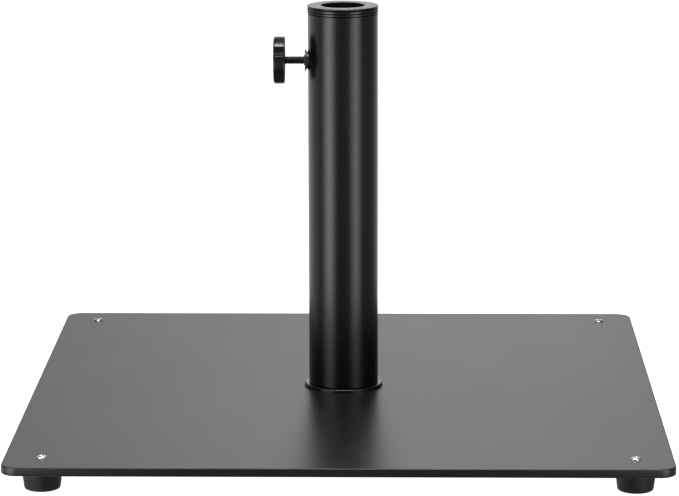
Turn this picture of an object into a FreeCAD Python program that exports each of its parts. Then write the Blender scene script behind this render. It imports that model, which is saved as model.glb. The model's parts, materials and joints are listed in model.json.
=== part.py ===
import FreeCAD, Part
import math
import os

# Steel parasol base: a square plate on four rubber feet, a bolted-on socket tube with a plastic collar
# and lift-out reducer, and a side clamp screw with a fluted grip.
#
# Millimetres, +Z up, origin on the ground under the centre of the plate. The clamp screw lies along -X.
# Each sub-part is one STEP file in parts/.

Vector = FreeCAD.Vector
X_AXIS = Vector(1, 0, 0)
Z_AXIS = Vector(0, 0, 1)
ORIGIN = Vector(0, 0, 0)

# Base plate
plate_side = 600.0
plate_thickness = 8.0
plate_corner_radius = 15.0
plate_edge_radius = 1.2

# Feet and the screws that hold them
foot_height = 20.0
foot_top_diameter = 35.8
foot_bottom_diameter = 32.8
foot_shoulder_height = 6.0
foot_edge_radius = 2.0
foot_inset = 34.5
foot_screw_diameter = 5.0
foot_screw_length = 20.0
foot_screw_hole = 5.5
foot_screw_chamfer_width = 0.6
foot_screw_chamfer_length = 0.8
screw_head_diameter = 9.2
screw_head_height = 1.7
screw_head_rim_height = 0.6
screw_head_shoulder_radius = 3.3
screw_head_shoulder_height = 1.46
recess_width = 1.1
recess_length = 5.0
recess_depth = 1.2
insert_diameter = 10.0
insert_height = 14.0
insert_groove_depth = 0.7
insert_groove_width = 2.0

# Socket tube, its welded foot flange and the tapped plug inside its lower end
tube_diameter = 67.0
tube_wall = 2.0
tube_bottom_chamfer = 0.8
tube_top = 392.0
flange_diameter = 76.0
flange_thickness = 3.0
flange_edge_radius = 1.0
plug_thickness = 12.0

# Bolts that hold the tube from under the plate
bolt_diameter = 8.0
bolt_length = 25.0
bolt_head_flats = 13.0
bolt_head_height = 5.3
bolt_head_turned_diameter = 14.7
bolt_chamfer = 0.8
bolt_circle = 40.0
bolt_count = 4
bolt_clearance_hole = 9.0
washer_diameter = 16.0
washer_hole = 8.4
washer_thickness = 1.6
lock_washer_diameter = 14.8
lock_washer_thickness = 2.0
lock_washer_split = 1.4

# Seat that centres the lower end of the pole
pole_bore_diameter = 40.0
seat_floor = 5.0
seat_height = 27.0
seat_lead_in = 3.0
seat_bottom_hole = 12.0

# Collar pressed into the rim of the tube
top_height = 400.0
collar_diameter = 67.6
collar_lower_groove_diameter = 65.0
collar_upper_groove_diameter = 63.0
collar_lower_gap = 1.0
collar_top = 398.4
collar_upper_gap = 1.0
collar_middle = 395.0
collar_middle_groove_width = 1.0
collar_middle_groove_depth = 1.0
collar_bore = 58.0
collar_spigot = 12.0
collar_spigot_taper = 0.6
collar_spigot_taper_length = 1.2
collar_slot_count = 6
collar_slot_width = 0.9
collar_slot_depth = 1.4
collar_first_slot_angle = 221.0
collar_slot_step = 5.6

# Lift-out reducer
reducer_flange_diameter = 68.0
reducer_edge_radius = 0.6
reducer_skirt_diameter = 57.4
reducer_barrel_diameter = 46.0
reducer_bottom = 356.0
reducer_mouth_diameter = 42.4
reducer_mouth_depth = 5.0
reducer_rib_count = 8
reducer_rib_thickness = 3.0
reducer_rib_chamfer = 1.5

# Clamp: threaded bush in the tube wall, bolt, pad and grip
clamp_height = 347.0
clamp_diameter = 8.0
clamp_thread_clearance = 0.05
bush_shank_diameter = 14.0
bush_flange_diameter = 20.6
bush_flange_thickness = 1.4
bush_flange_edge_radius = 0.4
bush_hub_diameter = 16.5
bush_hub_overlap = 3.0
bush_inner_x = -29.5
bush_flange_x = -36.3
bush_boss_x = -37.2
bush_boss_base_diameter = 11.0
bush_boss_tip_diameter = 9.4

grip_diameter = 45.2
grip_outer_x = -66.1
grip_thickness = 10.4
grip_flute_count = 6
grip_flute_radius = 6.0
grip_flute_half_angle = 12.5
grip_flute_edge_radius = 0.6
grip_outer_fillet = 1.8
grip_inner_fillet = 0.6
grip_dish_diameter = 26.0
grip_dish_depth = 0.8

clamp_head_flats = 13.0
clamp_head_height = 5.3
clamp_head_outer_x = -63.9
clamp_thread_end_x = -27.9
clamp_thread_chamfer = 0.8
cap_diameter = 17.6
cap_proud = 0.5
cap_rim_radius = 0.5

pad_diameter = 13.0
pad_outer_x = -27.5
pad_inner_x = -23.0
pad_edge_radius = 0.8
pad_lip = 0.9
neck_diameter = 4.6
bead_diameter = 5.6
bead_length = 1.3
pad_radial_clearance = 0.1
pad_end_clearance = 0.1

# Levels worked out from the values above
plate_bottom = foot_height
plate_top = plate_bottom + plate_thickness
flange_top = plate_top + flange_thickness
plug_top = flange_top + plug_thickness
tube_bore = tube_diameter - 2 * tube_wall
foot_offset = plate_side / 2 - foot_inset
grip_inner_x = grip_outer_x + grip_thickness

feet = {
    "front_left": (-foot_offset, -foot_offset),
    "front_right": (foot_offset, -foot_offset),
    "rear_left": (-foot_offset, foot_offset),
    "rear_right": (foot_offset, foot_offset),
}
foot_screw_twist = {"front_left": 20.0, "front_right": 65.0, "rear_left": 50.0, "rear_right": 5.0}
bolt_angles = [45.0 + i * 360.0 / bolt_count for i in range(bolt_count)]


def cylinder(diameter, low, high, centre=(0.0, 0.0)):
    """A round bar along Z from one level to another."""
    base = Vector(centre[0], centre[1], low)
    return Part.makeCylinder(diameter / 2, high - low, base, Z_AXIS)


def bar_along_x(diameter, low, high):
    """A round bar on the clamp's axis."""
    return Part.makeCylinder(diameter / 2, high - low, Vector(low, 0, clamp_height), X_AXIS)


def turned(profile):
    """The solid swept by a closed outline of (radius, height) points turned about Z."""
    points = [Vector(radius, 0, height) for radius, height in profile]
    face = Part.Face(Part.makePolygon(points + points[:1]))
    return face.revolve(ORIGIN, Z_AXIS, 360)


def on_clamp_axis(shape):
    """Lay a solid that is turned about Z, with heights as X values, along the clamp's axis."""
    shape.rotate(ORIGIN, Vector(0, 1, 0), 90)
    shape.translate(Vector(0, 0, clamp_height))
    return shape


def hexagon(flats, low, high, centre=(0.0, 0.0), twist=0.0):
    """A hexagonal prism along Z, measured across its flats."""
    corner = flats / 2 / math.cos(math.pi / 6)
    points = []
    for i in range(6):
        angle = math.radians(twist + 60 * i)
        points.append(Vector(centre[0] + corner * math.cos(angle), centre[1] + corner * math.sin(angle), low))
    return Part.Face(Part.makePolygon(points + points[:1])).extrude(Vector(0, 0, high - low))


def edges_at(shape, level, tolerance=1e-3):
    """The edges that lie wholly in one horizontal plane."""
    found = []
    for edge in shape.Edges:
        box = edge.BoundBox
        if abs(box.ZMin - level) < tolerance and abs(box.ZMax - level) < tolerance:
            found.append(edge)
    return found


def on_circle(diameter, angle):
    """The point at an angle in degrees on a circle about the Z axis."""
    turn = math.radians(angle)
    return (diameter / 2 * math.cos(turn), diameter / 2 * math.sin(turn))


def save(name, shape):
    """Write one sub-part after a check that its solids are sound."""
    for solid in shape.Solids:
        assert solid.isValid() and solid.Volume > 0, name
    shape.exportStep("parts/" + name + ".step")


def base_plate():
    """The heavy square plate, with holes for the foot screws and the tube's bolts."""
    half = plate_side / 2
    plate = Part.makeBox(plate_side, plate_side, plate_thickness, Vector(-half, -half, plate_bottom))
    upright = [e for e in plate.Edges if e.BoundBox.ZLength > plate_thickness / 2]
    plate = plate.makeFillet(plate_corner_radius, upright)
    rims = edges_at(plate, plate_top) + edges_at(plate, plate_bottom)
    plate = plate.makeFillet(plate_edge_radius, rims)
    for centre in feet.values():
        plate = plate.cut(cylinder(foot_screw_hole, plate_bottom - 1, plate_top + 1, centre))
    for angle in bolt_angles:
        centre = on_circle(bolt_circle, angle)
        plate = plate.cut(cylinder(bolt_clearance_hole, plate_bottom - 1, plate_top + 1, centre))
    return plate


def foot(centre):
    """A moulded foot that widens upward to a straight shoulder, with a bore for its screw's insert."""
    radius_top = foot_top_diameter / 2
    radius_bottom = foot_bottom_diameter / 2
    body = turned([
        (0, 0),
        (radius_bottom, 0),
        (radius_top, foot_height - foot_shoulder_height),
        (radius_top, foot_height),
        (0, foot_height),
    ])
    body = body.makeFillet(foot_edge_radius, edges_at(body, 0.0))
    body = body.cut(cylinder(insert_diameter, foot_height - insert_height, foot_height + 1))
    body = body.fuse(foot_insert_grip())
    body.translate(Vector(centre[0], centre[1], 0))
    return body.removeSplitter()


def foot_insert_grip():
    """The ring of rubber that fills the insert's groove and holds it in the foot."""
    middle = foot_height - insert_height / 2
    low = middle - insert_groove_width / 2
    high = middle + insert_groove_width / 2
    core = cylinder(insert_diameter - 2 * insert_groove_depth, low, high)
    return cylinder(insert_diameter, low, high).cut(core)


def foot_insert(centre):
    """The threaded sleeve moulded into a foot, grooved so that it can't pull out."""
    low = foot_height - insert_height
    body = cylinder(insert_diameter, low, foot_height).cut(foot_insert_grip())
    body = body.cut(cylinder(foot_screw_diameter, low - 1, foot_height + 1))
    body.translate(Vector(centre[0], centre[1], 0))
    return body


def foot_screw(centre, twist):
    """A cross-recessed pan-head screw, head on the plate and thread down into the foot's insert."""
    edge = Vector(screw_head_diameter / 2, 0, plate_top + screw_head_rim_height)
    shoulder = Vector(screw_head_shoulder_radius, 0, plate_top + screw_head_shoulder_height)
    crown = Vector(0, 0, plate_top + screw_head_height)
    tip = plate_top - foot_screw_length
    shank = foot_screw_diameter / 2
    outline = [
        Part.Arc(edge, shoulder, crown).toShape(),
        Part.makePolygon([
            crown,
            Vector(0, 0, tip),
            Vector(shank - foot_screw_chamfer_width, 0, tip),
            Vector(shank, 0, tip + foot_screw_chamfer_length),
            Vector(shank, 0, plate_top),
            Vector(screw_head_diameter / 2, 0, plate_top),
            edge,
        ]),
    ]
    wire = Part.Wire([edge for part in outline for edge in part.Edges])
    body = Part.Face(wire).revolve(ORIGIN, Z_AXIS, 360)
    recess_floor = plate_top + screw_head_height - recess_depth
    for angle in (twist, twist + 90):
        slot = Part.makeBox(recess_length, recess_width, recess_depth + 1)
        slot.translate(Vector(-recess_length / 2, -recess_width / 2, recess_floor))
        slot.rotate(ORIGIN, Z_AXIS, angle)
        body = body.cut(slot)
    body.translate(Vector(centre[0], centre[1], 0))
    return body


def socket_tube():
    """The upright tube, with a hole in its side for the clamp's bush."""
    tube = cylinder(tube_diameter, flange_top, tube_top)
    tube = tube.makeChamfer(tube_bottom_chamfer, edges_at(tube, flange_top))
    tube = tube.cut(cylinder(tube_bore, flange_top - 1, tube_top + 1))
    return tube.cut(bar_along_x(bush_shank_diameter, -tube_diameter, 0))


def tube_flange():
    """The disc welded under the tube, which lies on the plate."""
    disc = cylinder(flange_diameter, plate_top, flange_top)
    disc = disc.makeFillet(flange_edge_radius, edges_at(disc, flange_top))
    for angle in bolt_angles:
        centre = on_circle(bolt_circle, angle)
        disc = disc.cut(cylinder(bolt_clearance_hole, plate_top - 1, flange_top + 1, centre))
    return disc


def tube_plug():
    """The thick disc inside the tube's lower end that the bolts screw into."""
    plug = cylinder(tube_bore, flange_top, plug_top)
    for angle in bolt_angles:
        centre = on_circle(bolt_circle, angle)
        plug = plug.cut(cylinder(bolt_diameter, flange_top - 1, plug_top + 1, centre))
    return plug


def flange_bolts():
    """Four hexagon bolts from under the plate, through both washers, up into the tube's plug."""
    head_top = plate_bottom - washer_thickness - lock_washer_thickness
    head_bottom = head_top - bolt_head_height
    shank_top = head_top + bolt_length
    bolts = []
    for angle in bolt_angles:
        centre = on_circle(bolt_circle, angle)
        head = hexagon(bolt_head_flats, head_bottom, head_top, centre, angle)
        turned_head = cylinder(bolt_head_turned_diameter, head_bottom, head_top, centre)
        turned_head = turned_head.makeChamfer(bolt_chamfer, edges_at(turned_head, head_bottom))
        shank = cylinder(bolt_diameter, head_top, shank_top, centre)
        shank = shank.makeChamfer(bolt_chamfer, edges_at(shank, shank_top))
        bolts.append(head.common(turned_head).fuse(shank).removeSplitter())
    return Part.Compound(bolts)


def flange_washers():
    """Flat washers against the underside of the plate."""
    rings = []
    for angle in bolt_angles:
        centre = on_circle(bolt_circle, angle)
        low = plate_bottom - washer_thickness
        ring = cylinder(washer_diameter, low, plate_bottom, centre)
        rings.append(ring.cut(cylinder(washer_hole, low - 1, plate_bottom + 1, centre)))
    return Part.Compound(rings)


def lock_washers():
    """Split spring washers between the flat washers and the bolt heads."""
    rings = []
    high = plate_bottom - washer_thickness
    low = high - lock_washer_thickness
    for angle in bolt_angles:
        centre = on_circle(bolt_circle, angle)
        ring = cylinder(lock_washer_diameter, low, high, centre)
        ring = ring.cut(cylinder(washer_hole, low - 1, high + 1, centre))
        split = Part.makeBox(lock_washer_diameter, lock_washer_split, lock_washer_thickness + 2)
        split.translate(Vector(0, -lock_washer_split / 2, low - 1))
        split.rotate(ORIGIN, Z_AXIS, angle)
        split.translate(Vector(centre[0], centre[1], 0))
        rings.append(ring.cut(split))
    return Part.Compound(rings)


def pole_seat():
    """A plastic cup on the plug that keeps the foot of the pole in the middle of the tube."""
    outer = tube_bore / 2
    inner = pole_bore_diameter / 2
    floor = plug_top + seat_floor
    top = plug_top + seat_height
    return turned([
        (seat_bottom_hole / 2, plug_top),
        (outer, plug_top),
        (outer, top),
        (inner + seat_lead_in, top),
        (inner, top - seat_lead_in),
        (inner, floor),
        (seat_bottom_hole / 2, floor),
    ])


def top_collar():
    """A ring pressed into the tube's rim, with a banded edge and a short row of upright slots."""
    band = collar_diameter / 2
    lower_groove = collar_lower_groove_diameter / 2
    upper_groove = collar_upper_groove_diameter / 2
    bore = collar_bore / 2
    spigot = tube_bore / 2
    band_low = tube_top + collar_lower_gap
    band_high = collar_top - collar_upper_gap
    half_line = collar_middle_groove_width / 2
    line = band - collar_middle_groove_depth
    ring = turned([
        (bore, tube_top - collar_spigot),
        (spigot - collar_spigot_taper, tube_top - collar_spigot),
        (spigot, tube_top - collar_spigot + collar_spigot_taper_length),
        (spigot, tube_top),
        (lower_groove, tube_top),
        (lower_groove, band_low),
        (band, band_low),
        (band, collar_middle - half_line),
        (line, collar_middle),
        (band, collar_middle + half_line),
        (band, band_high),
        (upper_groove, band_high),
        (upper_groove, collar_top),
        (bore, collar_top),
    ])
    for i in range(collar_slot_count):
        slot = Part.makeBox(collar_slot_depth * 2, collar_slot_width, band_high - band_low)
        slot.translate(Vector(band - collar_slot_depth, -collar_slot_width / 2, band_low))
        slot.rotate(ORIGIN, Z_AXIS, collar_first_slot_angle - i * collar_slot_step)
        ring = ring.cut(slot)
    return ring


def reducer():
    """The bush that takes the pole: a flange on the collar, and a ribbed barrel that fills its bore."""
    flange = cylinder(reducer_flange_diameter, collar_top, top_height)
    rims = edges_at(flange, top_height) + edges_at(flange, collar_top)
    body = flange.makeFillet(reducer_edge_radius, rims)
    body = body.fuse(cylinder(reducer_barrel_diameter, reducer_bottom, collar_top))
    sleeve = cylinder(reducer_skirt_diameter, reducer_bottom, collar_top)
    sleeve = sleeve.makeChamfer(reducer_rib_chamfer, edges_at(sleeve, reducer_bottom))
    for i in range(reducer_rib_count):
        rib = Part.makeBox(reducer_skirt_diameter / 2, reducer_rib_thickness, collar_top - reducer_bottom)
        rib.translate(Vector(0, -reducer_rib_thickness / 2, reducer_bottom))
        rib.rotate(ORIGIN, Z_AXIS, i * 360.0 / reducer_rib_count)
        body = body.fuse(rib.common(sleeve))
    body = body.cut(cylinder(pole_bore_diameter, reducer_bottom - 1, top_height + 1))
    mouth = turned([
        (0, top_height - reducer_mouth_depth),
        (pole_bore_diameter / 2, top_height - reducer_mouth_depth),
        (reducer_mouth_diameter / 2, top_height),
        (0, top_height),
    ])
    return body.cut(mouth).removeSplitter()


def clamp_bush():
    """A threaded bush in the tube wall: a thin flange that stands off on a hub shaped to the tube."""
    flange = cylinder(bush_flange_diameter, bush_flange_x, bush_flange_x + bush_flange_thickness)
    flange = flange.makeFillet(bush_flange_edge_radius, edges_at(flange, bush_flange_x))
    boss = turned([
        (0, bush_boss_x),
        (bush_boss_tip_diameter / 2, bush_boss_x),
        (bush_boss_base_diameter / 2, bush_flange_x),
        (0, bush_flange_x),
    ])
    seat_x = -tube_diameter / 2 + bush_hub_overlap
    body = flange.fuse(boss).fuse(cylinder(bush_hub_diameter, bush_flange_x, seat_x))
    body = on_clamp_axis(body).cut(cylinder(tube_diameter, 0, tube_top))
    body = body.fuse(bar_along_x(bush_shank_diameter, bush_flange_x + bush_flange_thickness, bush_inner_x))
    bore = clamp_diameter + 2 * clamp_thread_clearance
    return body.cut(bar_along_x(bore, bush_boss_x - 1, bush_inner_x + 1)).removeSplitter()


def clamp_bolt():
    """A hexagon-head screw moulded into the grip, with a turned neck and bead that carry the pad."""
    head_inner_x = clamp_head_outer_x + clamp_head_height
    head = hexagon(clamp_head_flats, clamp_head_outer_x, head_inner_x)
    thread = clamp_diameter / 2
    neck = neck_diameter / 2
    bead = bead_diameter / 2
    bead_end = pad_inner_bottom() - pad_end_clearance
    bead_start = bead_end - bead_length
    shank = turned([
        (0, head_inner_x),
        (thread, head_inner_x),
        (thread, clamp_thread_end_x - clamp_thread_chamfer),
        (thread - clamp_thread_chamfer, clamp_thread_end_x),
        (neck, clamp_thread_end_x),
        (neck, bead_start),
        (bead, bead_start),
        (bead, bead_end),
        (0, bead_end),
    ])
    return turn_grip(head.fuse(shank).removeSplitter())


def pad_inner_bottom():
    """The X value of the blind end of the pad's socket."""
    return pad_outer_x + pad_lip + 2 * pad_end_clearance + bead_length


def pressure_pad():
    """The pad that presses on the pole and doesn't turn with the screw."""
    mouth = neck_diameter / 2 + pad_radial_clearance
    pocket = bead_diameter / 2 + pad_radial_clearance
    body = cylinder(pad_diameter, pad_outer_x, pad_inner_x)
    body = body.makeFillet(pad_edge_radius, edges_at(body, pad_inner_x))
    socket = turned([
        (0, pad_outer_x - 1),
        (mouth, pad_outer_x - 1),
        (mouth, pad_outer_x + pad_lip),
        (pocket, pad_outer_x + pad_lip),
        (pocket, pad_inner_bottom()),
        (0, pad_inner_bottom()),
    ])
    return on_clamp_axis(body.cut(socket))


def flute_distance():
    """How far the flutes' axes are from the grip's, so that each takes its share of the rim."""
    radius = grip_diameter / 2
    half = math.radians(grip_flute_half_angle)
    return radius * math.cos(half) + math.sqrt(grip_flute_radius ** 2 - (radius * math.sin(half)) ** 2)


def flute_angle(i):
    """The direction of a flute in degrees, half a step on from the lobe before it."""
    return (i + 0.5) * 360.0 / grip_flute_count


def flute_edges(shape, tolerance=1e-3):
    """The edges that lie wholly on the wall of one of the grip's flutes."""
    found = []
    for i in range(grip_flute_count):
        across, up = on_circle(2 * flute_distance(), flute_angle(i))
        for edge in shape.Edges:
            reaches = [math.hypot(point.x - across, point.y - up) for point in edge.discretize(5)]
            if all(abs(reach - grip_flute_radius) < tolerance for reach in reaches):
                found.append(edge)
    return found


def clamp_grip():
    """The fluted round grip, with a dished face, a pocket for the screw's head and a seat for its cap."""
    body = cylinder(grip_diameter, grip_outer_x, grip_inner_x)
    body = body.makeFillet(grip_outer_fillet, edges_at(body, grip_outer_x))
    body = body.makeFillet(grip_inner_fillet, edges_at(body, grip_inner_x))
    for i in range(grip_flute_count):
        centre = on_circle(2 * flute_distance(), flute_angle(i))
        body = body.cut(cylinder(2 * grip_flute_radius, grip_outer_x - 1, grip_inner_x + 1, centre))
    body = body.makeFillet(grip_flute_edge_radius, flute_edges(body))
    dish = turned([
        (0, grip_outer_x - 1),
        (grip_dish_diameter / 2 + grip_dish_depth, grip_outer_x - 1),
        (grip_dish_diameter / 2 + grip_dish_depth, grip_outer_x),
        (grip_dish_diameter / 2, grip_outer_x + grip_dish_depth),
        (0, grip_outer_x + grip_dish_depth),
    ])
    body = body.cut(dish)
    head_inner_x = clamp_head_outer_x + clamp_head_height
    body = body.cut(hexagon(clamp_head_flats, clamp_head_outer_x, head_inner_x))
    body = body.cut(cylinder(cap_diameter, grip_outer_x, clamp_head_outer_x))
    body = body.cut(cylinder(clamp_diameter, head_inner_x - 1, grip_inner_x + 1))
    return turn_grip(body)


def turn_grip(shape):
    """Lay a solid made along Z on the clamp's axis, with its +X side turned to the front."""
    shape.rotate(ORIGIN, Z_AXIS, 270)
    return on_clamp_axis(shape)


def grip_cap():
    """The disc that covers the screw's head, in its seat in the grip."""
    low = grip_outer_x + grip_dish_depth - cap_proud
    disc = cylinder(cap_diameter, low, clamp_head_outer_x)
    disc = disc.makeFillet(cap_rim_radius, edges_at(disc, low))
    return turn_grip(disc)


os.makedirs("parts", exist_ok=True)
save("base_plate", base_plate())
for place, centre in feet.items():
    save("foot_" + place, foot(centre))
    save("foot_insert_" + place, foot_insert(centre))
    save("foot_screw_" + place, foot_screw(centre, foot_screw_twist[place]))
save("socket_tube", socket_tube())
save("tube_flange", tube_flange())
save("tube_plug", tube_plug())
save("flange_bolts", flange_bolts())
save("flange_washers", flange_washers())
save("flange_lock_washers", lock_washers())
save("pole_seat", pole_seat())
save("top_collar", top_collar())
save("reducer_bush", reducer())
save("clamp_bush", clamp_bush())
save("clamp_bolt", clamp_bolt())
save("clamp_pad", pressure_pad())
save("clamp_grip", clamp_grip())
save("grip_cap", grip_cap())
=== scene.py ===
import json
import math

import bmesh
import bpy
from mathutils import Matrix, Vector


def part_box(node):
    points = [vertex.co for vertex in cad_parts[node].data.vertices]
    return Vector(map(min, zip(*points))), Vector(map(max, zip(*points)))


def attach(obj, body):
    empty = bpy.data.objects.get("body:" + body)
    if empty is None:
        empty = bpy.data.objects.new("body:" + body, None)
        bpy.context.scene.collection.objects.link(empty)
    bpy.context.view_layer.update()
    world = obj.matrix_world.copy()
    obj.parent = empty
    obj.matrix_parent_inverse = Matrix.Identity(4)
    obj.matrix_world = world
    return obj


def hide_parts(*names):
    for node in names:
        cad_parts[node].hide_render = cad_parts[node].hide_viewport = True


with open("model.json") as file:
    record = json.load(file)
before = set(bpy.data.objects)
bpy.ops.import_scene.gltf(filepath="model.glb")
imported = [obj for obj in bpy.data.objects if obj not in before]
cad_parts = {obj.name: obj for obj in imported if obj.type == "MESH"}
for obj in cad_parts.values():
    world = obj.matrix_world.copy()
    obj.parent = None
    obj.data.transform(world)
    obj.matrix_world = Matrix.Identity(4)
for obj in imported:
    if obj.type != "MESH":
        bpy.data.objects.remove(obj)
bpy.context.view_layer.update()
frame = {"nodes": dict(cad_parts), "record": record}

# The looks of the parasol base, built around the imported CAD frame.
# Lengths are in metres, +Z is up, and the front is -Y.
MM = 0.001

plate_low, plate_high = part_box("base_plate")
bolt_low, bolt_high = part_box("clamp_bolt")
bush_low, bush_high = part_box("clamp_bush")
clamp_height = (bush_low.z + bush_high.z) / 2

# Outer radii, from which the recesses that get painted shade are told apart
collar_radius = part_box("top_collar")[1].x
grip_radius = 22.6 * MM
mouth_radius = 21.2 * MM

# Holes in the plate
foot_screw_hole = 5.5 * MM
flange_bolt_hole = 9.0 * MM
flange_bolt_circle = 40.0 * MM
flange_bolt_count = 4

# The plate's outline
plate_corner_radius = 15 * MM
plate_edge_radius = 1.2 * MM

# The M8 clamp screw
thread_pitch = 1.25 * MM
thread_crest = 4.0 * MM
thread_depth = 0.61 * thread_pitch
thread_end = -27.9 * MM
screw_head_height = 5.3 * MM
screw_head_flats = 13 * MM

crease_angle = 35.0
places = ("front_left", "front_right", "rear_left", "rear_right")
screw_twists = (20, 65, 50, 5)


# ---------------------------------------------------------------- materials

class Look:
    """A material with short ways to add and join its nodes. Patterns are in the object's own metres."""

    def __init__(self, name):
        self.material = bpy.data.materials.new(name)
        self.material.use_nodes = True
        self.tree = self.material.node_tree
        self.shader = self.tree.nodes["Principled BSDF"]
        self.position = self.node("ShaderNodeTexCoord").outputs["Object"]

    def node(self, kind, **settings):
        """Add a node with the given settings."""
        made = self.tree.nodes.new(kind)
        for key, value in settings.items():
            setattr(made, key, value)
        return made

    def put(self, socket, value):
        """Link an output into a socket, or set a plain value or colour on it."""
        if isinstance(value, bpy.types.NodeSocket):
            self.tree.links.new(value, socket)
        elif isinstance(value, tuple) and len(value) == 3:
            socket.default_value = (*value, 1.0)
        else:
            socket.default_value = value

    def math(self, operation, a, b=0.0):
        """One step of arithmetic."""
        made = self.node("ShaderNodeMath", operation=operation)
        self.put(made.inputs[0], a)
        self.put(made.inputs[1], b)
        return made.outputs[0]

    def noise(self, size, detail=2.0, roughness=0.5, stretch=(1, 1, 1)):
        """Cloudy noise whose features are about the given size in metres."""
        mapping = self.node("ShaderNodeMapping")
        self.put(mapping.inputs["Vector"], self.position)
        mapping.inputs["Scale"].default_value = stretch
        made = self.node("ShaderNodeTexNoise")
        self.put(made.inputs["Vector"], mapping.outputs[0])
        made.inputs["Scale"].default_value = 1.0 / size
        made.inputs["Detail"].default_value = detail
        made.inputs["Roughness"].default_value = roughness
        return made.outputs["Fac"]

    def cells(self, size):
        """Small round cells, for pits."""
        made = self.node("ShaderNodeTexVoronoi", feature="F1")
        self.put(made.inputs["Vector"], self.position)
        made.inputs["Scale"].default_value = 1.0 / size
        return made.outputs["Distance"]

    def spread(self, value, low, high, to_low=0.0, to_high=1.0):
        """Map a range of a value to another range, smoothly and with limits."""
        made = self.node("ShaderNodeMapRange", interpolation_type="SMOOTHSTEP")
        self.put(made.inputs["Value"], value)
        made.inputs["From Min"].default_value = low
        made.inputs["From Max"].default_value = high
        made.inputs["To Min"].default_value = to_low
        made.inputs["To Max"].default_value = to_high
        return made.outputs["Result"]

    def blend(self, share, a, b):
        """Mix two colours by a share from 0 to 1."""
        made = self.node("ShaderNodeMix", data_type="RGBA")
        self.put(made.inputs["Factor"], share)
        self.put(made.inputs["A"], a)
        self.put(made.inputs["B"], b)
        return made.outputs["Result"]

    def axis(self, which):
        """The object's own X, Y or Z."""
        made = self.node("ShaderNodeSeparateXYZ")
        self.put(made.inputs[0], self.position)
        return made.outputs[which]

    def distance_from_axis(self, along, centre=(0.0, 0.0)):
        """Distance from a line that runs along X, Y or Z."""
        squares = []
        for part, middle in zip([p for p in "XYZ" if p != along], centre):
            offset = self.math("SUBTRACT", self.axis(part), middle)
            squares.append(self.math("MULTIPLY", offset, offset))
        return self.math("SQRT", self.math("ADD", squares[0], squares[1]))

    def bump(self, height, distance, strength):
        """A normal that follows a height pattern."""
        made = self.node("ShaderNodeBump")
        made.inputs["Strength"].default_value = strength
        made.inputs["Distance"].default_value = distance
        self.put(made.inputs["Height"], height)
        return made.outputs[0]

    def finish(self, colour, roughness, normal=None, metallic=0.0, specular=0.5):
        """Join everything to the shader."""
        self.put(self.shader.inputs["Base Color"], colour)
        self.put(self.shader.inputs["Roughness"], roughness)
        self.shader.inputs["Metallic"].default_value = metallic
        self.put(self.shader.inputs["Specular IOR Level"], specular)
        if normal is not None:
            self.put(self.shader.inputs["Normal"], normal)
        return self.material


def powder_coat(name, dark, light, roughness, grain=0.7 * MM, depth=0.02 * MM, wear=None):
    """A fine-textured powder coat: tiny pebbled grain, faintly cloudy tone and gloss, and rubbed edges."""
    look = Look(name)
    clouds = look.noise(90 * MM, 3.0, 0.55)
    pebbles = look.noise(grain, 2.0, 0.6)
    specks = look.spread(look.noise(1.6 * MM, 1.0, 0.4), 0.68, 0.76)
    speck_colour = tuple(c * 2.2 for c in light)
    colour = look.blend(look.spread(clouds, 0.3, 0.7), dark, light)
    colour = look.blend(look.math("MULTIPLY", specks, 0.25), colour, speck_colour)
    cloudy_gloss = look.spread(clouds, 0.25, 0.75, roughness - 0.006, roughness + 0.006)
    gloss = look.math("ADD", cloudy_gloss, look.spread(pebbles, 0.3, 0.7, -0.02, 0.02))
    if wear is not None:
        bare_primer = (0.10, 0.10, 0.098)
        patches = look.spread(look.noise(1.2 * MM, 3.0, 0.7), 0.48, 0.72)
        colour = look.blend(look.math("MULTIPLY", wear(look), patches), colour, bare_primer)
    return look.finish(colour, gloss, look.bump(pebbles, depth, 0.6))


def moulded_plastic(name, dark, light, roughness, recess=None):
    """Moulded plastic with a fine spark-eroded grain and faint flow clouds. Its recesses get painted shade:
    near-black colour, a weaker reflection and more roughness.
    """
    look = Look(name)
    flow = look.noise(14 * MM, 3.0, 0.55)
    grit = look.noise(0.35 * MM, 2.0, 0.7)
    smear = look.noise(4 * MM, 3.0, 0.6, stretch=(1.0, 0.35, 1.0))
    colour = look.blend(look.spread(flow, 0.3, 0.7), dark, light)
    cloudy_gloss = look.spread(flow, 0.3, 0.7, roughness - 0.025, roughness + 0.035)
    gloss = look.math("ADD", cloudy_gloss, look.spread(smear, 0.35, 0.75, -0.02, 0.05))
    specular = 0.5
    if recess is not None:
        # Painted shade: the recess is painted near-black and its reflection weakened, standing in for the
        # shade that falls there.
        inside = recess(look)
        painted_shade_black = (0.0012, 0.0012, 0.0012)
        colour = look.blend(inside, colour, painted_shade_black)
        gloss = look.math("ADD", gloss, look.math("MULTIPLY", inside, 0.45))
        specular = look.spread(inside, 0.0, 1.0, specular, 0.08)
    return look.finish(colour, gloss, look.bump(grit, 0.008 * MM, 0.5), specular=specular)


def rubber(name):
    """Dull moulded rubber: soft mottling, pitted grain and a dusty lower edge."""
    look = Look(name)
    mottle = look.noise(6 * MM, 4.0, 0.6)
    pits = look.cells(0.9 * MM)
    dusty_height = 4 * MM
    dust_colour = (0.03, 0.029, 0.027)
    near_ground = look.spread(look.axis("Z"), 0.0, dusty_height, 1.0, 0.0)
    dust = look.math("MULTIPLY", near_ground, look.spread(look.noise(1.5 * MM, 3.0, 0.7), 0.35, 0.7))
    colour = look.blend(look.spread(mottle, 0.3, 0.7), (0.0030, 0.0030, 0.0030), (0.0060, 0.0060, 0.0058))
    colour = look.blend(look.math("MULTIPLY", dust, 0.3), colour, dust_colour)
    gloss = look.spread(mottle, 0.3, 0.7, 0.5, 0.66)
    return look.finish(colour, gloss, look.bump(pits, 0.03 * MM, 0.4))


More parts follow.
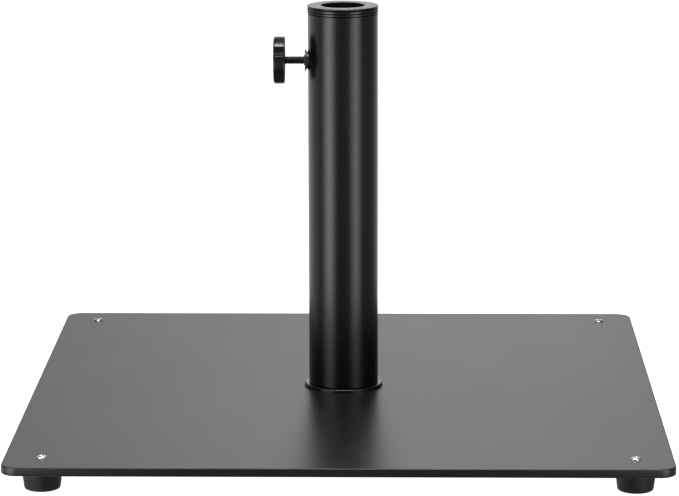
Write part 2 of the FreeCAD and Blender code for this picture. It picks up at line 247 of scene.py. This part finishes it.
def bare_metal(name, dark, light, roughness, stain=None):
    """Bare or plated metal: fine tooling marks, patchy sheen and optional staining."""
    look = Look(name)
    marks = look.noise(0.5 * MM, 3.0, 0.7)
    patches = look.noise(7 * MM, 4.0, 0.6)
    colour = look.blend(look.spread(patches, 0.3, 0.7), dark, light)
    if stain is not None:
        colour = look.blend(look.math("MULTIPLY", look.spread(patches, 0.55, 0.75), 0.5), colour, stain)
    patchy_gloss = look.spread(patches, 0.3, 0.7, roughness - 0.04, roughness + 0.06)
    gloss = look.math("ADD", patchy_gloss, look.spread(marks, 0.3, 0.7, -0.03, 0.05))
    return look.finish(colour, gloss, look.bump(marks, 0.006 * MM, 0.5), metallic=1.0)


def blackened_steel(name):
    """Black zinc plate, rubbed to grey steel on the crests of the thread."""
    look = Look(name)
    patches = look.noise(3 * MM, 4.0, 0.6)
    steel_grey = (0.26, 0.26, 0.25)
    rub = look.math("MULTIPLY", thread_crests(look), look.spread(look.noise(2.2 * MM, 3.0, 0.7), 0.42, 0.72))
    colour = look.blend(look.spread(patches, 0.3, 0.7), (0.010, 0.010, 0.0095), (0.018, 0.018, 0.017))
    colour = look.blend(look.math("MULTIPLY", rub, 0.55), colour, steel_grey)
    gloss = look.spread(patches, 0.3, 0.7, 0.34, 0.46)
    grit = look.noise(0.4 * MM)
    return look.finish(colour, gloss, look.bump(grit, 0.01 * MM, 0.5), metallic=0.4)


def nylon(name):
    """Natural nylon: milky, slightly see-through and softly clouded."""
    look = Look(name)
    cloud = look.noise(3 * MM, 3.0, 0.6)
    colour = look.blend(look.spread(cloud, 0.3, 0.7), (0.62, 0.60, 0.53), (0.70, 0.68, 0.61))
    look.shader.inputs["Subsurface Weight"].default_value = 0.25
    look.shader.inputs["Subsurface Scale"].default_value = 1.5 * MM
    gloss = look.spread(cloud, 0.3, 0.7, 0.38, 0.5)
    return look.finish(colour, gloss, look.bump(look.noise(0.5 * MM), 0.01 * MM, 0.4))


def plate_rims(look):
    """Part of 1 along the plate's outer upper edges, where the coat is thin, and 0 elsewhere."""
    from_middle_x = look.math("ABSOLUTE", look.axis("X"))
    from_middle_y = look.math("ABSOLUTE", look.axis("Y"))
    across = look.math("MAXIMUM", from_middle_x, from_middle_y)
    edge = look.spread(across, plate_high.x - 1.6 * MM, plate_high.x - 0.3 * MM)
    top = look.spread(look.axis("Z"), plate_high.z - 1.6 * MM, plate_high.z - 0.4 * MM)
    return look.math("MULTIPLY", look.math("MULTIPLY", edge, top), 0.35)


def collar_groove_shade(look):
    """1 in the collar's grooves and slots, where shade is painted, and 0 on its outer face."""
    distance = look.distance_from_axis("Z")
    return look.spread(distance, collar_radius - 0.8 * MM, collar_radius - 0.1 * MM, 1.0, 0.0)


def pole_mouth_shade(look):
    """1 inside the reducer's bore, where shade is painted, and 0 on its upper face."""
    return look.spread(look.distance_from_axis("Z"), mouth_radius - 0.5 * MM, mouth_radius, 1.0, 0.0)


def grip_flute_shade(look):
    """Most of 1 in the grip's flutes, where shade is painted over their highlight, and 0 on its outer lobes.
    """
    distance = look.distance_from_axis("X", (0.0, clamp_height))
    return look.spread(distance, grip_radius - 1.2 * MM, grip_radius - 0.3 * MM, 0.7, 0.0)


def thread_crests(look):
    """1 on the crests of the clamp screw's thread."""
    distance = look.distance_from_axis("X", (0.0, clamp_height))
    return look.spread(distance, thread_crest - 0.25 * MM, thread_crest - 0.02 * MM)


looks = {
    "plate_coat": powder_coat("plate_coat", (0.0034, 0.0040, 0.0038), (0.0046, 0.0053, 0.0050), 0.35,
                              wear=plate_rims),
    "tube_coat": powder_coat("tube_coat", (0.0016, 0.0019, 0.0018), (0.0023, 0.0027, 0.0025), 0.27,
                             grain=1.2 * MM, depth=0.032 * MM),
    "foot_rubber": rubber("foot_rubber"),
    "screw_chrome": bare_metal("screw_chrome", (0.84, 0.85, 0.86), (0.90, 0.91, 0.92), 0.24),
    "zinc_steel": bare_metal("zinc_steel", (0.50, 0.52, 0.55), (0.62, 0.63, 0.62), 0.3,
                             stain=(0.42, 0.40, 0.30)),
    "plain_steel": bare_metal("plain_steel", (0.28, 0.28, 0.27), (0.36, 0.36, 0.35), 0.4,
                              stain=(0.20, 0.13, 0.08)),
    "insert_brass": bare_metal("insert_brass", (0.62, 0.44, 0.16), (0.70, 0.52, 0.22), 0.28),
    "black_steel": blackened_steel("black_steel"),
    "collar_plastic": moulded_plastic("collar_plastic", (0.0035, 0.0040, 0.0038), (0.0050, 0.0056, 0.0053),
                                      0.24, recess=collar_groove_shade),
    "reducer_plastic": moulded_plastic("reducer_plastic", (0.0070, 0.0075, 0.0072),
                                       (0.0100, 0.0105, 0.0102), 0.28, recess=pole_mouth_shade),
    "seat_plastic": moulded_plastic("seat_plastic", (0.010, 0.010, 0.010), (0.014, 0.014, 0.014), 0.5),
    "grip_plastic": moulded_plastic("grip_plastic", (0.0040, 0.0040, 0.0040), (0.0062, 0.0062, 0.0060),
                                    0.25, recess=grip_flute_shade),
    "pad_nylon": nylon("pad_nylon"),
}
slot_of = {row["node"]: row["material_slot"] for row in frame["record"]["subparts"]}
for node_name, cad_node in frame["nodes"].items():
    cad_node.data.materials.clear()
    cad_node.data.materials.append(looks[slot_of[node_name]])


# ---------------------------------------------------------------- mesh helpers

def smooth_but_creased(mesh, crease):
    """Shade a mesh smooth, with edges sharper than the crease angle, in degrees, kept hard."""
    merge_distance = 1e-7
    shape = bmesh.new()
    shape.from_mesh(mesh)
    bmesh.ops.remove_doubles(shape, verts=shape.verts, dist=merge_distance)
    bmesh.ops.dissolve_degenerate(shape, edges=shape.edges, dist=merge_distance)
    bmesh.ops.recalc_face_normals(shape, faces=shape.faces)
    for face in shape.faces:
        face.smooth = True
    for edge in shape.edges:
        if len(edge.link_faces) == 2:
            edge.smooth = edge.calc_face_angle() < math.radians(crease)
    shape.to_mesh(mesh)
    shape.free()


def add_piece(name, points, faces, slot, body, replaced, crease=crease_angle):
    """A mesh piece that rides on a body and stands for a CAD node."""
    mesh = bpy.data.meshes.new(name)
    mesh.from_pydata(points, [], faces)
    smooth_but_creased(mesh, crease)
    made = bpy.data.objects.new(name, mesh)
    bpy.context.scene.collection.objects.link(made)
    made.data.materials.append(looks[slot])
    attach(made, body)
    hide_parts(replaced)
    return made


def joined_rings(rings, closed_ends=True):
    """Faces between equal rings of points laid one after another, with a cap on the first and the last."""
    count = len(rings[0])
    points = [p for ring in rings for p in ring]
    faces = []
    for level in range(len(rings) - 1):
        low = level * count
        high = low + count
        for i in range(count):
            j = (i + 1) % count
            faces.append((low + i, low + j, high + j, high + i))
    if closed_ends:
        faces.append(tuple(reversed(range(count))))
        faces.append(tuple(range((len(rings) - 1) * count, len(rings) * count)))
    return points, faces


def rounded_square(half, radius, level, steps=16):
    """One ring of a square with round corners."""
    ring = []
    for quarter in range(4):
        turn = quarter * math.pi / 2
        middle = Vector((half - radius, half - radius))
        for step in range(steps + 1):
            angle = step / steps * math.pi / 2
            corner = middle + Vector((math.cos(angle), math.sin(angle))) * radius
            x = corner.x * math.cos(turn) - corner.y * math.sin(turn)
            y = corner.x * math.sin(turn) + corner.y * math.cos(turn)
            ring.append((x, y, level))
    return ring


def turned_rings(profile, centre, around):
    """Rings of points for a profile of (radius, height) turned about an upright axis."""
    rings = []
    for radius, height in profile:
        ring = []
        for i in range(around):
            angle = 2 * math.pi * i / around
            ring.append((centre[0] + radius * math.cos(angle), centre[1] + radius * math.sin(angle), height))
        rings.append(ring)
    return rings


def arc(centre, radius, start, end, steps):
    """Points (radius, height) on an arc between two angles in degrees."""
    points = []
    for step in range(steps + 1):
        angle = math.radians(start + (end - start) * step / steps)
        points.append((centre[0] + radius * math.cos(angle), centre[1] + radius * math.sin(angle)))
    return points


def middle_of(node):
    """The middle of a node's box, seen from above."""
    low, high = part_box(node)
    return (low.x + high.x) / 2, (low.y + high.y) / 2


def with_holes(piece, holes, low, high):
    """Bore upright round holes, given as (x, y, radius), right through a piece."""
    cutter_mesh = bpy.data.meshes.new("cutter")
    shape = bmesh.new()
    for x, y, radius in holes:
        centre = Matrix.Translation((x, y, (low + high) / 2))
        bmesh.ops.create_cone(shape, cap_ends=True, segments=48, radius1=radius, radius2=radius,
                              depth=high - low, matrix=centre)
    shape.to_mesh(cutter_mesh)
    shape.free()
    cutter = bpy.data.objects.new("cutter", cutter_mesh)
    bpy.context.scene.collection.objects.link(cutter)
    bore = piece.modifiers.new("bore", "BOOLEAN")
    bore.operation = "DIFFERENCE"
    bore.solver = "EXACT"
    bore.object = cutter
    bpy.context.view_layer.update()
    bored = bpy.data.meshes.new_from_object(piece.evaluated_get(bpy.context.evaluated_depsgraph_get()))
    piece.modifiers.clear()
    smooth_but_creased(bored, crease_angle)
    piece.data = bored
    bpy.data.objects.remove(cutter)
    bpy.data.meshes.remove(cutter_mesh)


# ---------------------------------------------------------------- pieces

def plate_piece():
    """The plate with its soft rolled edges, finer than the CAD mesh, and its bolt and screw holes."""
    edge = plate_edge_radius
    sides = [(edge + 1.0 * MM, plate_low.z)]
    steps = 6
    for step in range(steps + 1):
        angle = step / steps * math.pi / 2
        sides.append((edge * (1 - math.sin(angle)), plate_low.z + edge * (1 - math.cos(angle))))
    upper = [(inset, plate_high.z + plate_low.z - level) for inset, level in reversed(sides)]
    rings = []
    for inset, level in sides + upper:
        rings.append(rounded_square(plate_high.x - inset, plate_corner_radius - inset, level))
    points, faces = joined_rings(rings)
    piece = add_piece("plate", points, faces, "plate_coat", "base", "base_plate")
    holes = [(*middle_of("foot_screw_" + place), foot_screw_hole / 2) for place in places]
    for i in range(flange_bolt_count):
        angle = math.pi / 4 + i * 2 * math.pi / flange_bolt_count
        reach = flange_bolt_circle / 2
        holes.append((reach * math.cos(angle), reach * math.sin(angle), flange_bolt_hole / 2))
    beyond = 5 * MM
    with_holes(piece, holes, plate_low.z - beyond, plate_high.z + beyond)


def foot_piece(place):
    """A moulded rubber foot: ringed sole, rounded lower edge, flared side and straight shoulder."""
    low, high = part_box("foot_" + place)
    top = high.z
    shoulder = top - 6 * MM
    rim = (high.x - low.x) / 2
    sole = rim - 1.5 * MM
    edge = 2 * MM
    blend = 1.2 * MM
    lip = 0.5 * MM
    flare = -6
    dish = 7.4 * MM
    dish_depth = 1.4 * MM
    groove_depth = 0.6 * MM
    groove_half_floor = 0.3 * MM
    groove_half_width = 0.5 * MM
    profile = [(0, dish_depth), (dish, dish_depth), (dish + 0.8 * MM, groove_depth), (dish + 1.4 * MM, 0.0)]
    for groove in (10.6 * MM, 12.6 * MM):
        profile += [(groove - groove_half_width, 0.0), (groove - groove_half_floor, groove_depth),
                    (groove + groove_half_floor, groove_depth), (groove + groove_half_width, 0.0)]
    profile += arc((sole - edge, edge), edge, -90, flare, 6)
    profile += arc((rim - blend, shoulder), blend, flare, 0, 2)
    profile += arc((rim - lip, top - lip), lip, 0, 90, 4)
    screw_bore = 5 * MM
    bore_floor = 6 * MM
    profile += [(screw_bore, top), (screw_bore, bore_floor), (0, bore_floor)]
    rings = turned_rings(profile, middle_of("foot_" + place), 96)
    points, faces = joined_rings(rings, closed_ends=False)
    node = "foot_" + place
    add_piece(node + "_moulded", points, faces, "foot_rubber", "base", node, crease=30.0)


def cross_recess_depth(radius, angle):
    """The depth of a tapered cross recess at a radius and an angle from one of its arms."""
    arm = 2.7 * MM
    half_width = 0.62 * MM
    depth = 1.2 * MM
    end_slope = 1.3 * MM
    side_slope = 0.16 * MM
    cut = 0.0
    for turn in (0.0, math.pi / 2):
        along = abs(radius * math.cos(angle - turn))
        across = abs(radius * math.sin(angle - turn))
        inside = min((arm - along) / end_slope, (half_width - across) / side_slope)
        cut = max(cut, depth * min(1.0, max(0.0, inside)))
    return cut


def corner_screw_piece(place, twist):
    """A pan-head screw with a crowned head and a tapered cross recess."""
    node = "foot_screw_" + place
    low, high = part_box(node)
    centre = middle_of(node)
    head = (high.x - low.x) / 2
    crown = high.z - plate_high.z
    roundness = 2.6
    shank = 2.5 * MM
    tip = shank - 0.6 * MM
    around = 96
    steps = 26
    rings = turned_rings([(tip, low.z), (shank, low.z + 0.8 * MM), (shank, plate_high.z),
                          (head, plate_high.z)], centre, around)
    for step in range(1, steps):
        radius = head * math.cos(step / steps * math.pi / 2)
        dome = plate_high.z + crown * (1 - (radius / head) ** roundness) ** 0.5
        ring = []
        for i in range(around):
            angle = 2 * math.pi * i / around
            height = dome - cross_recess_depth(radius, angle - twist)
            ring.append((centre[0] + radius * math.cos(angle), centre[1] + radius * math.sin(angle), height))
        rings.append(ring)
    points, faces = joined_rings(rings)
    add_piece("corner_screw_" + place, points, faces, "screw_chrome", "base", node, crease=32.0)


def thread_radius(phase):
    """The radius of a 60-degree thread form at a share of its pitch."""
    crest_flat = 0.125
    root_flat = 0.25
    away = abs(phase - 0.5) * 2
    flank = min(1.0, max(0.0, (away - crest_flat) / (1 - root_flat - crest_flat)))
    return thread_crest - thread_depth * flank


def ring_about_screw(x, radius_at, around=64):
    """A ring of points about the clamp screw's axis, with a radius for each angle."""
    ring = []
    for i in range(around):
        angle = 2 * math.pi * i / around
        radius = radius_at(angle)
        ring.append((x, radius * math.cos(angle), clamp_height + radius * math.sin(angle)))
    return ring


def thread_rings(start, end):
    """Rings that follow the helix and fade out towards the screw's tip."""
    rows_per_turn = 12
    fade_turns = 0.8
    root = thread_crest - thread_depth
    rows = round((end - start) / thread_pitch * rows_per_turn)
    rings = []
    for row in range(rows + 1):
        x = start + (end - start) * row / rows
        fade = min(1.0, max(0.0, (end - x) / thread_pitch / fade_turns))

        def radius_at(angle, x=x, fade=fade):
            phase = (x / thread_pitch - angle / (2 * math.pi)) % 1.0
            return root + (thread_radius(phase) - root) * fade

        rings.append(ring_about_screw(x, radius_at))
    return rings


def screw_head_rings(outer, inner):
    """The hexagon head, chamfered at both ends."""
    corner = screw_head_flats / 2 / math.cos(math.pi / 6)
    turn = math.radians(270)
    chamfer = 0.5 * MM
    rings = []
    for x, scale in ((outer, 0.93), (outer + chamfer, 1.0), (inner - chamfer, 1.0), (inner, 0.96)):
        hexagon = []
        for i in range(6):
            angle = turn + i * math.pi / 3
            reach = corner * scale
            hexagon.append((x, reach * math.sin(angle), clamp_height - reach * math.cos(angle)))
        rings.append(hexagon)
    return rings


def clamp_screw_piece():
    """The clamp screw with its real helical thread, hexagon head, neck and bead."""
    head_outer = bolt_low.x
    head_inner = head_outer + screw_head_height
    root = thread_crest - thread_depth
    neck = 2.3 * MM
    neck_fillet = 0.2 * MM
    bead = 2.8 * MM
    bead_edge = 0.25 * MM
    tip = bolt_high.x
    bead_start = tip - 1.3 * MM
    rings = [ring_about_screw(head_inner, lambda angle: root)]
    rings += thread_rings(head_inner, thread_end)
    for x, radius in ((thread_end, neck + neck_fillet), (thread_end + neck_fillet, neck), (bead_start, neck),
                      (bead_start, bead - bead_edge), (bead_start + bead_edge, bead), (tip - bead_edge, bead),
                      (tip, bead - bead_edge)):
        rings.append(ring_about_screw(x, lambda angle, radius=radius: radius))
    points, faces = joined_rings(rings)
    head_points, head_faces = joined_rings(screw_head_rings(head_outer, head_inner))
    shift = len(points)
    points += head_points
    faces += [tuple(i + shift for i in face) for face in head_faces]
    add_piece("clamp_screw_threaded", points, faces, "black_steel", "clamp_screw", "clamp_bolt")


plate_piece()
for place, twist in zip(places, screw_twists):
    foot_piece(place)
    corner_screw_piece(place, math.radians(twist))
clamp_screw_piece()


# ---------------------------------------------------------------- studio

white = (1.0, 1.0, 1.0)
studio_tint = (0.975, 1.0, 0.988)


def studio_floor():
    """A plain pale floor, bright enough to stay white under the plate."""
    look = Look("studio_floor")
    colour = look.blend(look.noise(20 * MM, 3.0, 0.5), (0.90, 0.90, 0.90), (0.93, 0.93, 0.93))
    look.finish(colour, 0.9, specular=0.0)
    look.put(look.shader.inputs["Emission Color"], white)
    look.shader.inputs["Emission Strength"].default_value = 1.05
    reach = 6.0
    below_the_feet = 0.2 * MM
    corners = [(-reach, -reach, 0), (reach, -reach, 0), (reach, reach, 0), (-reach, reach, 0)]
    mesh = bpy.data.meshes.new("floor")
    mesh.from_pydata(corners, [], [(0, 1, 2, 3)])
    floor = bpy.data.objects.new("floor", mesh)
    bpy.context.scene.collection.objects.link(floor)
    mesh.materials.append(look.material)
    floor.location.z = -below_the_feet
    floor.visible_glossy = False


class Room:
    """The world's nodes. Directions are turns from the back (+Y) towards +X, and heights from -1 to 1."""

    def __init__(self):
        world = bpy.data.worlds.new("studio")
        bpy.context.scene.world = world
        world.use_nodes = True
        self.tree = world.node_tree
        self.background = self.tree.nodes["Background"]
        place = self.tree.nodes.new("ShaderNodeTexCoord").outputs["Generated"]
        split = self.tree.nodes.new("ShaderNodeSeparateXYZ")
        self.tree.links.new(place, split.inputs[0])
        self.height = split.outputs["Z"]
        self.turn = self.calculate("ARCTAN2", split.outputs["X"], split.outputs["Y"])

    def calculate(self, operation, a, b):
        """One step of arithmetic."""
        made = self.tree.nodes.new("ShaderNodeMath")
        made.operation = operation
        for socket, value in zip(made.inputs, (a, b)):
            if isinstance(value, bpy.types.NodeSocket):
                self.tree.links.new(value, socket)
            else:
                socket.default_value = value
        return made.outputs[0]

    def ramp(self, value, low, high, to_low, to_high):
        """Map a range of a value to another range, smoothly and with limits."""
        made = self.tree.nodes.new("ShaderNodeMapRange")
        made.interpolation_type = "SMOOTHSTEP"
        self.tree.links.new(value, made.inputs["Value"])
        for name, number in (("From Min", low), ("From Max", high), ("To Min", to_low), ("To Max", to_high)):
            made.inputs[name].default_value = number
        return made.outputs["Result"]

    def turn_ramp(self, low, high, to_low, to_high):
        """A ramp between two turns in degrees."""
        return self.ramp(self.turn, math.radians(low), math.radians(high), to_low, to_high)

    def height_ramp(self, low, high, to_low, to_high):
        """A ramp between two heights."""
        return self.ramp(self.height, low, high, to_low, to_high)

    def times(self, a, b):
        """The product of two values."""
        return self.calculate("MULTIPLY", a, b)

    def plus(self, a, b):
        """The sum of two values."""
        return self.calculate("ADD", a, b)


def studio_world():
    """A white room: pure white to the eye. Its reflections are bright behind the object and dim in front."""
    room = Room()
    wall = room.times(room.turn_ramp(-100, -12, 0.0, 0.74), room.turn_ramp(-2, 60, 1.0, 0.03))
    glow_middle = math.radians(1)
    from_middle = room.calculate("ABSOLUTE", room.calculate("SUBTRACT", room.turn, glow_middle), 0.0)
    glow = room.ramp(from_middle, math.radians(1), math.radians(11), 0.70, 0.0)
    by_height = room.times(room.height_ramp(0.08, 0.42, 0.76, 1.18), room.height_ramp(0.36, 0.75, 1.0, 0.10))
    upper = room.times(room.plus(wall, glow), by_height)
    low_wall = room.times(room.turn_ramp(-125, -45, 0.0, 0.75), room.turn_ramp(4, 74, 1.0, 0.04))
    upper = room.times(upper, room.height_ramp(-0.06, 0.0, 0.0, 1.0))
    lower = room.times(low_wall, room.height_ramp(-0.06, 0.0, 1.0, 0.0))
    ground = room.times(room.height_ramp(-0.10, 0.02, 0.22, 0.02), room.height_ramp(-0.80, -0.25, 0.08, 1.0))
    reflected = room.plus(room.plus(upper, lower), ground)
    white_to_the_eye = 1.1
    seen = room.tree.nodes.new("ShaderNodeLightPath")
    strength = room.tree.nodes.new("ShaderNodeMix")
    strength.data_type = "FLOAT"
    room.tree.links.new(seen.outputs["Is Camera Ray"], strength.inputs["Factor"])
    room.tree.links.new(reflected, strength.inputs["A"])
    strength.inputs["B"].default_value = white_to_the_eye
    room.tree.links.new(strength.outputs["Result"], room.background.inputs["Strength"])
    room.background.inputs["Color"].default_value = (*studio_tint, 1.0)


def rectangle_light(name, width, length, power):
    """A rectangular area light that the camera doesn't see."""
    light = bpy.data.lights.new(name, "AREA")
    light.shape = "RECTANGLE"
    light.size = width
    light.size_y = length
    light.energy = power
    light.color = studio_tint
    lamp = bpy.data.objects.new(name, light)
    bpy.context.scene.collection.objects.link(lamp)
    lamp.visible_camera = False
    return lamp


def softbox(name, azimuth, distance, width, power):
    """A tall light beside the object, facing the tube: azimuth from the front towards +X, in degrees.

    It reaches below the floor, which reflections don't see, so the tube's highlights stay bright lower down.
    """
    low, high = -0.10, 0.44
    lamp = rectangle_light(name, width, high - low, power)
    turn = math.radians(azimuth)
    lamp.location = (distance * math.sin(turn), -distance * math.cos(turn), (low + high) / 2)
    towards = Vector((0, 0, lamp.location.z)) - lamp.location
    lamp.rotation_mode = "QUATERNION"
    lamp.rotation_quaternion = towards.to_track_quat("-Z", "Y")


def studio_lights():
    """Two soft-edged lights on the tube, each a wide one with a core, and one above the upper edges."""
    softbox("left_softbox", azimuth=-46, distance=0.75, width=0.52, power=1.85)
    softbox("left_core", azimuth=-45, distance=0.74, width=0.20, power=0.76)
    softbox("right_softbox", azimuth=42, distance=0.80, width=0.48, power=1.36)
    softbox("right_core", azimuth=43, distance=0.79, width=0.18, power=0.52)
    overhead = rectangle_light("overhead_softbox", width=0.9, length=0.5, power=20.0)
    overhead.location = (0.0, -0.22, 1.5)


def studio_camera():
    """The long lens at the viewer's height, a little to the right of the middle."""
    data = bpy.data.cameras.new("camera")
    data.sensor_width = 36.0
    data.lens = 164.72
    data.clip_start = 0.05
    data.clip_end = 50.0
    camera = bpy.data.objects.new("camera", data)
    bpy.context.scene.collection.objects.link(camera)
    bpy.context.scene.camera = camera
    place = (0.05423, -2.94087, 0.79156)
    yaw, pitch, roll = 0.0197, 0.2104, -0.0025
    level = Vector((-math.sin(yaw), math.cos(yaw), 0))
    side = Vector((math.cos(yaw), math.sin(yaw), 0))
    upright = Vector((0, 0, 1))
    forward = level * math.cos(pitch) - upright * math.sin(pitch)
    up = upright * math.cos(pitch) + level * math.sin(pitch)
    right = side * math.cos(roll) + up * math.sin(roll)
    up = up * math.cos(roll) - side * math.sin(roll)
    turned = Matrix((right, up, -forward)).transposed().to_4x4()
    camera.matrix_world = Matrix.Translation(place) @ turned


studio_camera()
studio_floor()
studio_world()
studio_lights()
scene = bpy.context.scene
scene.view_settings.view_transform = "Standard"
scene.view_settings.look = "None"
